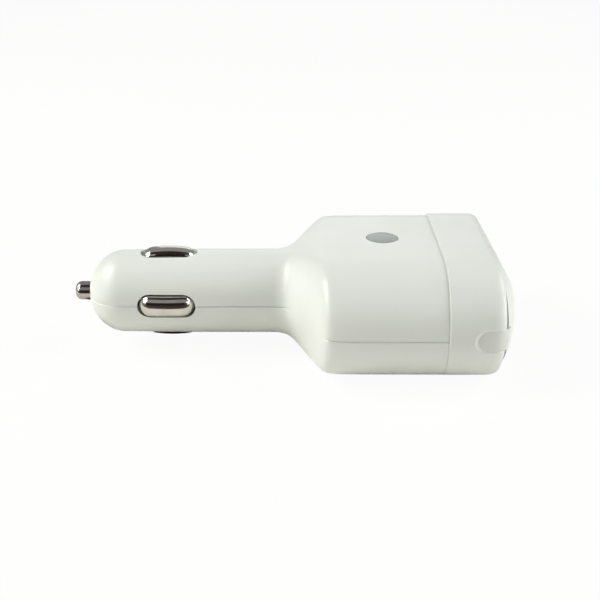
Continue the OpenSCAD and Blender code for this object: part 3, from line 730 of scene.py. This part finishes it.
def new_group(name, inputs, outputs):
    """Node group with those float sockets, and its two end nodes."""
    tree = bpy.data.node_groups.new(name, "ShaderNodeTree")
    for label, value in inputs:
        socket = tree.interface.new_socket(label, in_out="INPUT", socket_type="NodeSocketFloat")
        socket.default_value = value
    for label in outputs:
        tree.interface.new_socket(label, in_out="OUTPUT", socket_type="NodeSocketFloat")
    return tree, tree.nodes.new("NodeGroupInput"), tree.nodes.new("NodeGroupOutput")


def object_point(tree):
    return put(tree, "TexCoord").outputs["Object"]


def make_moulded_grain():
    """Fine satin grain of a mould, with the slow flow marks of the plastic."""
    tree, ins, outs = new_group("moulded grain", [("Grain Scale", 5200.0), ("Flow Scale", 60.0)],
                                ["Height", "Tone"])
    point = object_point(tree)
    grain = put(tree, "TexNoise", Vector=point, Scale=ins.outputs["Grain Scale"], Detail=2.0,
                Roughness=0.6)
    flow = put(tree, "TexNoise", Vector=point, Scale=ins.outputs["Flow Scale"], Detail=3.0,
               Roughness=0.55, Distortion=0.6)
    height = maths(tree, "ADD", maths(tree, "MULTIPLY", grain.outputs["Fac"], 0.35),
                   maths(tree, "MULTIPLY", flow.outputs["Fac"], 0.65))
    tree.links.new(height, outs.inputs["Height"])
    tree.links.new(flow.outputs["Fac"], outs.inputs["Tone"])
    return tree


def make_handling_wear():
    """Hairline scuffs in patches, where hands and pockets have rubbed."""
    tree, ins, outs = new_group("handling wear", [("Scuff Scale", 900.0), ("Amount", 0.5)],
                                ["Mask", "Film"])
    point = object_point(tree)
    stretched = put(tree, "Mapping", {"vector_type": "POINT"}, Vector=point,
                    Rotation=(0.3, 0.2, 0.5), Scale=(0.12, 1.0, 1.0))
    lines = put(tree, "TexNoise", Vector=stretched.outputs[0], Scale=ins.outputs["Scuff Scale"],
                Detail=4.0, Roughness=0.7)
    patches = put(tree, "TexNoise", Vector=point, Scale=110.0, Detail=2.0)
    thin = mapped(tree, lines.outputs["Fac"], 0.6, 0.68)
    where = mapped(tree, patches.outputs["Fac"], 0.45, 0.7)
    mask = maths(tree, "MULTIPLY", maths(tree, "MULTIPLY", thin, where), ins.outputs["Amount"])
    tree.links.new(mask, outs.inputs["Mask"])
    tree.links.new(mapped(tree, patches.outputs["Fac"], 0.3, 0.7), outs.inputs["Film"])
    return tree


def make_drawn_lines():
    """Fine lines that forming leaves in sheet and wire, with small dents."""
    tree, ins, outs = new_group("drawn lines", [("Line Scale", 2600.0), ("Across X", 1.0)],
                                ["Height", "Dull"])
    point = object_point(tree)
    stretch = put(tree, "CombineXYZ", X=ins.outputs["Across X"], Y=1.0, Z=1.0)
    squeezed = put(tree, "VectorMath", {"operation": "MULTIPLY"}, i0=point,
                   i1=stretch.outputs[0])
    lines = put(tree, "TexNoise", Vector=squeezed.outputs[0], Scale=ins.outputs["Line Scale"],
                Detail=3.0)
    dents = put(tree, "TexNoise", Vector=point, Scale=260.0, Detail=1.0)
    tree.links.new(lines.outputs["Fac"], outs.inputs["Height"])
    tree.links.new(mapped(tree, dents.outputs["Fac"], 0.35, 0.75), outs.inputs["Dull"])
    return tree


def make_groove_painted_shade():
    """Painted shade in the groove behind the front's edge, along X, but not on the two tongues."""
    tree, ins, outs = new_group("groove grime", [("Edge", 0.0514), ("Tongue", 0.0026)], ["Mask"])
    point = object_point(tree)
    split = put(tree, "SeparateXYZ", Vector=point).outputs
    behind = maths(tree, "SUBTRACT", ins.outputs["Edge"], split["X"])
    near = maths(tree, "MULTIPLY", behind, 9000.0, True)
    clear = maths(tree, "SUBTRACT", maths(tree, "ABSOLUTE", split["Z"]), ins.outputs["Tongue"])
    off_tongue = maths(tree, "MULTIPLY", clear, 20000.0, True)
    patches = put(tree, "TexNoise", Vector=point, Scale=700.0, Detail=2.0)
    amount = mapped(tree, patches.outputs["Fac"], 0.3, 0.7, 0.8, 1.0)
    tree.links.new(maths(tree, "MULTIPLY", maths(tree, "MULTIPLY", near, off_tongue), amount),
                   outs.inputs["Mask"])
    return tree


MOULDED_GRAIN = make_moulded_grain()
GROOVE_PAINTED_SHADE = make_groove_painted_shade()
HANDLING_WEAR = make_handling_wear()
DRAWN_LINES = make_drawn_lines()


def use_group(tree, group, **inputs):
    node = tree.nodes.new("ShaderNodeGroup")
    node.node_tree = group
    for key, value in inputs.items():
        node.inputs[key.replace("_", " ")].default_value = value
    return node.outputs


def start_material(name, viewport):
    """New material, its node tree and its surface shader."""
    material = bpy.data.materials.new(name)
    material.use_nodes = True
    material.diffuse_color = rgba(viewport)
    tree = material.node_tree
    tree.nodes.clear()
    shader = put(tree, "BsdfPrincipled")
    put(tree, "OutputMaterial", Surface=shader.outputs[0])
    return material, tree, shader


def bump(tree, shader, height, distance):
    node = put(tree, "Bump", Height=height, Distance=distance, Strength=1.0)
    tree.links.new(node.outputs[0], shader.inputs["Normal"])


def plastic(name, colour, shade, rough=(0.3, 0.42), grain=5200.0, depth=4e-6, wear=0.4,
            specular=0.5, painted_shade=None):
    """Moulded plastic: base colour drifting to a shade of it, satin gloss, faint scuffs, and optional
    painted shade in a groove.
    """
    material, tree, shader = start_material(name, colour)
    skin = use_group(tree, MOULDED_GRAIN, Grain_Scale=grain)
    scuff = use_group(tree, HANDLING_WEAR, Amount=wear)
    tone = mapped(tree, skin["Tone"], 0.35, 0.65)
    base = mixed(tree, tone, rgba(colour), rgba(shade))
    # Painted shade: the colour darkens towards the groove behind the front's edge.
    if painted_shade:
        base = mixed(tree, use_group(tree, GROOVE_PAINTED_SHADE)["Mask"], base, rgba(painted_shade))
    tree.links.new(base, shader.inputs["Base Color"])
    gloss = mapped(tree, scuff["Film"], 0.0, 1.0, rough[0], rough[1])
    worn = maths(tree, "ADD", gloss, maths(tree, "MULTIPLY", scuff["Mask"], 0.18), True)
    tree.links.new(worn, shader.inputs["Roughness"])
    height = maths(tree, "SUBTRACT", skin["Height"],
                   maths(tree, "MULTIPLY", scuff["Mask"], 0.3))
    bump(tree, shader, height, depth)
    shader.inputs["Specular IOR Level"].default_value = specular
    return material


def metal(name, colour, shade, rough=(0.08, 0.2), scale=2600.0, across=0.1, depth=1.5e-6,
          wear=0.5):
    """Bare or plated metal: formed lines, dull patches and hairline scuffs."""
    material, tree, shader = start_material(name, colour)
    lines = use_group(tree, DRAWN_LINES, Line_Scale=scale, Across_X=across)
    scuff = use_group(tree, HANDLING_WEAR, Amount=wear, Scuff_Scale=1400.0)
    tree.links.new(mixed(tree, lines["Dull"], rgba(colour), rgba(shade)),
                   shader.inputs["Base Color"])
    dull = mapped(tree, lines["Dull"], 0.0, 1.0, rough[0], rough[1])
    worn = maths(tree, "ADD", dull, maths(tree, "MULTIPLY", scuff["Mask"], 0.25), True)
    tree.links.new(worn, shader.inputs["Roughness"])
    shader.inputs["Metallic"].default_value = 1.0
    bump(tree, shader, lines["Height"], depth)
    return material


SHELL = plastic("shell plastic", (0.795, 0.83, 0.79), (0.775, 0.815, 0.765))
# The front plastic's colour darkens in the groove behind its edge: painted shade.
FRONT = plastic("front plastic", (0.765, 0.796, 0.746), (0.745, 0.776, 0.722),
                rough=(0.48, 0.58), specular=0.2, painted_shade=(0.58, 0.59, 0.54))
LENS = plastic("frosted lens", (0.305, 0.352, 0.335), (0.282, 0.328, 0.31), rough=(0.22, 0.3),
               wear=0.2)
PORT = plastic("port plastic", (0.82, 0.82, 0.8), (0.76, 0.76, 0.74), rough=(0.4, 0.5))
CHIP = plastic("chip plastic", (0.025, 0.025, 0.028), (0.04, 0.04, 0.042), rough=(0.5, 0.65))
LED = plastic("led plastic", (0.85, 0.8, 0.5), (0.8, 0.7, 0.35), rough=(0.15, 0.25), wear=0.0)
CORE = plastic("core paint", (0.62, 0.5, 0.08), (0.55, 0.42, 0.06), rough=(0.5, 0.65),
               grain=2400.0, depth=2e-5)
NICKEL = metal("bright nickel", (0.69, 0.68, 0.62), (0.61, 0.6, 0.54))
PIN = metal("worn nickel", (0.54, 0.53, 0.5), (0.47, 0.46, 0.43))
SHEET = metal("port sheet", (0.68, 0.68, 0.67), (0.58, 0.58, 0.57), rough=(0.2, 0.32))
WIRE = metal("spring wire", (0.5, 0.5, 0.51), (0.4, 0.4, 0.41), rough=(0.25, 0.4))
BRASS = metal("strip brass", (0.72, 0.53, 0.24), (0.6, 0.42, 0.18), rough=(0.22, 0.38))
GOLD = metal("contact gold", (0.86, 0.65, 0.27), (0.8, 0.58, 0.22), rough=(0.14, 0.24))


def board_laminate():
    """Green solder mask over copper tracks that show through as lighter lines."""
    material, tree, shader = start_material("board laminate", (0.03, 0.22, 0.08))
    point = object_point(tree)
    cells = put(tree, "TexVoronoi", {"feature": "DISTANCE_TO_EDGE"}, Vector=point, Scale=420.0)
    tracks = mapped(tree, cells.outputs["Distance"], 0.04, 0.07, 1.0, 0.0)
    skin = use_group(tree, MOULDED_GRAIN, Grain_Scale=3000.0)
    green = mixed(tree, skin["Tone"], rgba((0.015, 0.15, 0.05)), rgba((0.02, 0.2, 0.07)))
    tree.links.new(mixed(tree, tracks, green, rgba((0.06, 0.34, 0.12))),
                   shader.inputs["Base Color"])
    tree.links.new(mapped(tree, skin["Tone"], 0.3, 0.7, 0.25, 0.4), shader.inputs["Roughness"])
    bump(tree, shader, maths(tree, "ADD", maths(tree, "MULTIPLY", tracks, 0.8), skin["Height"]),
         2e-5)
    return material


def winding_copper():
    """Enamelled wire wound round the core: turns spread about the core's own axis, with painted shade
    between the turns and painted light on their crests.
    """
    material, tree, shader = start_material("winding copper", (0.6, 0.25, 0.1))
    low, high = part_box("inductor_core")
    centre = (Vector(low) + Vector(high)) / 2
    shift = put(tree, "VectorMath", {"operation": "SUBTRACT"}, i0=object_point(tree),
                i1=tuple(centre))
    angle = put(tree, "TexGradient", {"gradient_type": "RADIAL"}, Vector=shift.outputs[0])
    turns = maths(tree, "MULTIPLY", angle.outputs["Fac"], 2 * math.pi * 34)
    turn_relief_and_shade = mapped(tree, maths(tree, "SINE", turns), -1.0, 1.0)
    scuff = use_group(tree, HANDLING_WEAR, Amount=0.4)
    # Painted shade and highlight: the copper darkens between turns and lightens on each crest, in step
    # with the bump.
    tree.links.new(mixed(tree, turn_relief_and_shade, rgba((0.3, 0.09, 0.03)), rgba((0.75, 0.33, 0.14))),
                   shader.inputs["Base Color"])
    tree.links.new(mapped(tree, scuff["Film"], 0.0, 1.0, 0.2, 0.34), shader.inputs["Roughness"])
    shader.inputs["Metallic"].default_value = 0.8
    bump(tree, shader, turn_relief_and_shade, 2.5e-4)
    return material


def can_sleeve():
    """Dark sleeve of a capacitor with a bare aluminium top."""
    material, tree, shader = start_material("can sleeve", (0.05, 0.06, 0.09))
    facing = put(tree, "SeparateXYZ", Vector=put(tree, "NewGeometry").outputs["Normal"])
    top = mapped(tree, facing.outputs["Z"], 0.85, 0.95)
    lines = use_group(tree, DRAWN_LINES, Line_Scale=1800.0, Across_X=1.0)
    tree.links.new(mixed(tree, top, rgba((0.035, 0.04, 0.07)), rgba((0.7, 0.7, 0.7))),
                   shader.inputs["Base Color"])
    tree.links.new(top, shader.inputs["Metallic"])
    tree.links.new(mapped(tree, lines["Dull"], 0.0, 1.0, 0.25, 0.4), shader.inputs["Roughness"])
    bump(tree, shader, lines["Height"], 3e-6)
    return material


def fuse_glass():
    """Clear tube with a faint drift of tint and gloss."""
    material, tree, shader = start_material("fuse glass", (0.8, 0.86, 0.88))
    skin = use_group(tree, MOULDED_GRAIN, Grain_Scale=1200.0)
    tree.links.new(mixed(tree, skin["Tone"], rgba((0.93, 0.97, 0.97)), rgba((0.88, 0.94, 0.95))),
                   shader.inputs["Base Color"])
    tree.links.new(mapped(tree, skin["Tone"], 0.0, 1.0, 0.02, 0.08), shader.inputs["Roughness"])
    shader.inputs["Transmission Weight"].default_value = 1.0
    shader.inputs["IOR"].default_value = 1.5
    bump(tree, shader, skin["Height"], 2e-6)
    return material


BOARD = board_laminate()
COPPER = winding_copper()
CAN = can_sleeve()
GLASS = fuse_glass()


def give(material, *pieces):
    for piece in pieces:
        piece.data.materials.clear()
        piece.data.materials.append(material)


give(SHELL, upper, lower, cap)
give(FRONT, insert)
give(LENS, lens)
give(NICKEL, *contacts)
give(PIN, pin)
give(WIRE, *coils)

NODE_FINISH = {
    SHEET: ["usb_shell_near", "usb_shell_far"],
    PORT: ["usb_tongue_near", "usb_tongue_far"],
    GOLD: ["usb_blades_near", "usb_blades_far"],
    BRASS: ["ground_frame", "positive_strap"],
    NICKEL: ["fuse_caps"],
    BOARD: ["circuit_board"],
    LED: ["status_led"],
    GLASS: ["fuse_tube"],
    CORE: ["inductor_core"],
    COPPER: ["inductor_winding"],
    CAN: ["input_capacitor", "output_capacitor"],
    CHIP: ["controller_chip", "diode"],
}
for finish, names in NODE_FINISH.items():
    for name in names:
        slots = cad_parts[name].data.materials
        for i in range(len(slots)):
            slots[i] = finish


# Studio

# Lamps and dark cards face the middle of the charger. From here on, sizes are in metres.
CENTRE = Vector((4.9, 0.0, 0.0)) * MM
FLOOR_Z = cad_bounds[0][2]
FLOOR_HALF = 4.0
FLOOR_GAP = 0.00002
APRON_LIFT = 0.0002
LAMP_AWAY = 0.8
CARD_AWAY = 0.75
APRON_EDGE = 0.044
WARM = (1.0, 0.98, 0.95)


def flat_mesh(w, d, z=0.0):
    """Rectangle about the origin, w by d metres."""
    mesh = bmesh.new()
    for x, y in ((-w, -d), (w, -d), (w, d), (-w, d)):
        mesh.verts.new((x / 2, y / 2, z))
    mesh.faces.new(mesh.verts)
    return mesh


def backdrop_material(name, tint, keep):
    """Pale ground that the camera sees as white, with a share of its shadow."""
    material = bpy.data.materials.new(name)
    material.use_nodes = True
    tree = material.node_tree
    tree.nodes.clear()
    card = put(tree, "BsdfDiffuse", Color=rgba(tint))
    glow = put(tree, "Emission", Color=(1, 1, 1, 1), Strength=1.0)
    seen = put(tree, "LightPath").outputs["Is Camera Ray"]
    share = maths(tree, "MULTIPLY", seen, 1.0 - keep)
    mix = put(tree, "MixShader", i0=share, i1=card.outputs[0], i2=glow.outputs[0])
    put(tree, "OutputMaterial", Surface=mix.outputs[0])
    return material


def dark_card_material():
    """Nearly black, with a trace of red."""
    material = bpy.data.materials.new("flag card")
    material.use_nodes = True
    shader = material.node_tree.nodes["Principled BSDF"].inputs
    shader["Base Color"].default_value = (0.014, 0.004, 0.004, 1)
    shader["Roughness"].default_value = 0.9
    return material


def face_charger(thing, azimuth, elevation, distance):
    """Stands it off the charger and turns it there. Azimuth 0 is in front, 90 by the ports."""
    a, e = math.radians(azimuth), math.radians(elevation)
    away = Vector((math.sin(a) * math.cos(e), -math.cos(a) * math.cos(e), math.sin(e)))
    thing.location = CENTRE + away * distance
    thing.rotation_euler = away.to_track_quat("Z", "Y").to_euler()


def softbox(name, azimuth, elevation, size, watts, colour=(1, 1, 1), distance=LAMP_AWAY):
    """Square or oblong area lamp."""
    lamp = bpy.data.lights.new(name, "AREA")
    lamp.shape = "RECTANGLE"
    lamp.size, lamp.size_y = size
    lamp.energy = watts
    lamp.color = colour
    holder = bpy.data.objects.new(name, lamp)
    face_charger(holder, azimuth, elevation, distance)
    bpy.context.scene.collection.objects.link(holder)


def dark_card(name, size):
    """Dark card that only reflections see."""
    card = piece_from(name, flat_mesh(*size))
    card.visible_camera = False
    card.visible_diffuse = False
    card.visible_shadow = False
    card.data.materials.append(DARK)
    return card


def make_floor():
    floor = piece_from("floor", flat_mesh(2 * FLOOR_HALF, 2 * FLOOR_HALF, FLOOR_Z - FLOOR_GAP))
    floor.data.materials.append(backdrop_material("floor white", (0.9, 0.88, 0.84), 0.06))


def make_world(mirrored, ambient):
    """White to the camera, grey in reflections and nearly dark as a light."""
    world = bpy.data.worlds.new("studio")
    bpy.context.scene.world = world
    world.use_nodes = True
    tree = world.node_tree
    tree.nodes.clear()
    path = put(tree, "LightPath").outputs
    grey = maths(tree, "MULTIPLY", path["Is Glossy Ray"], mirrored)
    strength = maths(tree, "ADD", maths(tree, "ADD", path["Is Camera Ray"], grey), ambient, True)
    sky = put(tree, "Background", Color=(1, 1, 1, 1), Strength=strength)
    put(tree, "OutputWorld", Surface=sky.outputs[0])


make_floor()
softbox("left light", -92, 42, (0.4, 0.4), 4.5, WARM)
softbox("left fill", -65, 28, (0.4, 0.5), 2.4, WARM)
softbox("right light", 97, 38, (0.4, 0.4), 2.9)
softbox("rim light", 90, 8, (0.4, 0.2), 1.3)
softbox("right fill", 75, 16, (0.4, 0.4), 1.1)
softbox("front fill", 50, 14, (0.5, 0.4), 1.25, distance=1.1)
softbox("back light", 180, 20, (0.4, 0.4), 0.4)

# Two wide cards in front and overhead, two flat ones on the floor and one by the top contact
DARK = dark_card_material()
face_charger(dark_card("front flag", (1.6, 0.32)), 0, 11, CARD_AWAY)
face_charger(dark_card("overhead flag", (1.6, 0.46)), 0, 76, CARD_AWAY)
apron = dark_card("table apron", (1.6, CARD_AWAY - APRON_EDGE))
apron.location = (CENTRE.x, -(CARD_AWAY + APRON_EDGE) / 2, FLOOR_Z + APRON_LIFT)
# Painted shadow: a dark card on the floor under the barrel stands in for the shadow there, as
# reflections see it.
barrel_shadow_card = dark_card("barrel painted shadow", (0.05, 0.07))
barrel_shadow_card.location = (-0.0265, 0.03, FLOOR_Z + APRON_LIFT)
above = dark_card("top contact flag", (0.0125, 0.0085))
face_charger(above, 0, 41, CARD_AWAY)
above.location = (PILL_X * MM, -0.0117, 0.0179)
make_world(0.3, 0.02)

# The camera stands about 23.6 degrees above the barrel's axis, with the pin to the left.
LOOK_AT = Vector((4.9, 0.0, -2.66)) * MM
CAMERA_UP = math.radians(23.55)
CAMERA_AWAY = 0.240
camera_data = bpy.data.cameras.new("camera")
camera_data.lens = 57.33
camera_data.sensor_width = 36.0
camera_data.clip_start = 0.01
camera_data.clip_end = 20.0
camera = bpy.data.objects.new("camera", camera_data)
camera.location = LOOK_AT + CAMERA_AWAY * Vector((0, -math.cos(CAMERA_UP), math.sin(CAMERA_UP)))
camera.rotation_euler = (math.pi / 2 - CAMERA_UP, 0, 0)
bpy.context.scene.collection.objects.link(camera)
bpy.context.scene.camera = camera
bpy.context.scene.view_settings.view_transform = "Standard"
